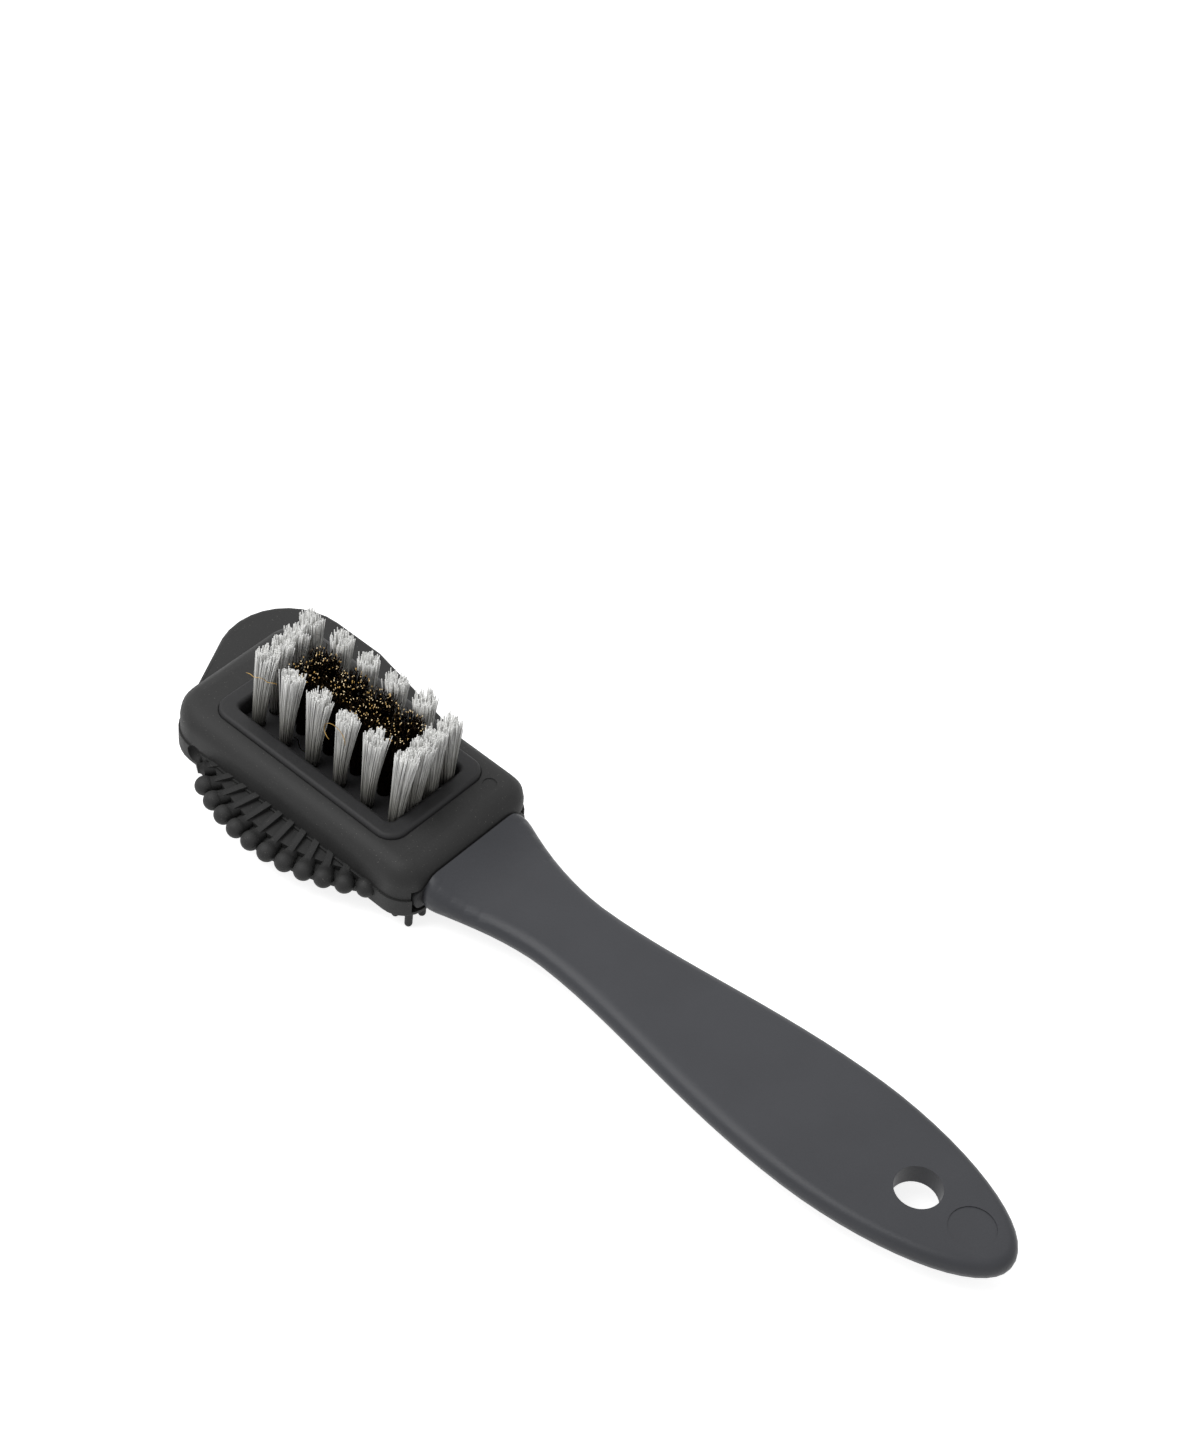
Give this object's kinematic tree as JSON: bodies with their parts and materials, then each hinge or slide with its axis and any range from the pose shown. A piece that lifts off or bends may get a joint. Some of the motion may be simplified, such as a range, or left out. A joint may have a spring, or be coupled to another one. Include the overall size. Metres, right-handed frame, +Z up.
{
  "type": "suede brush",
  "caption": "Hand brush with stiff nylon and brass tufts on a hard core, in a soft rubber boot with a knobbed comb, a smooth lip and a pin mat; paddle handle with a hanging hole.",
  "frame": {"origin": "under the middle of the whole brush, on the plane of the pin tips it rests on", "axes": "+X from the head to the handle's end, +Y towards the smooth lip's side, +Z up from the pins to the tufts"},
  "size_m": [0.1704, 0.0458, 0.0279],
  "materials": {
    "handle_plastic": "fine satin moulded plastic",
    "boot_rubber": "matte soft moulded rubber",
    "nylon": "translucent drawn filament",
    "brass": "crimped drawn wire",
    "anchor_steel": "drawn flat wire"
  },
  "bodies": {
    "root": {"handle": "handle_plastic", "rubber_boot": "boot_rubber", "nylon_tuft_01": "nylon", "nylon_tuft_02": "nylon", "nylon_tuft_03": "nylon", "nylon_tuft_04": "nylon", "nylon_tuft_05": "nylon", "nylon_tuft_06": "nylon", "nylon_tuft_07": "nylon", "nylon_tuft_08": "nylon", "nylon_tuft_09": "nylon", "nylon_tuft_10": "nylon", "nylon_tuft_11": "nylon", "nylon_tuft_12": "nylon", "nylon_tuft_13": "nylon", "nylon_tuft_14": "nylon", "nylon_tuft_15": "nylon", "nylon_tuft_16": "nylon", "brass_tuft_01": "brass", "brass_tuft_02": "brass", "brass_tuft_03": "brass", "brass_tuft_04": "brass", "brass_tuft_05": "brass", "brass_tuft_06": "brass", "brass_tuft_07": "brass", "brass_tuft_08": "brass", "tuft_staples": "anchor_steel"}
  },
  "joints": []
}
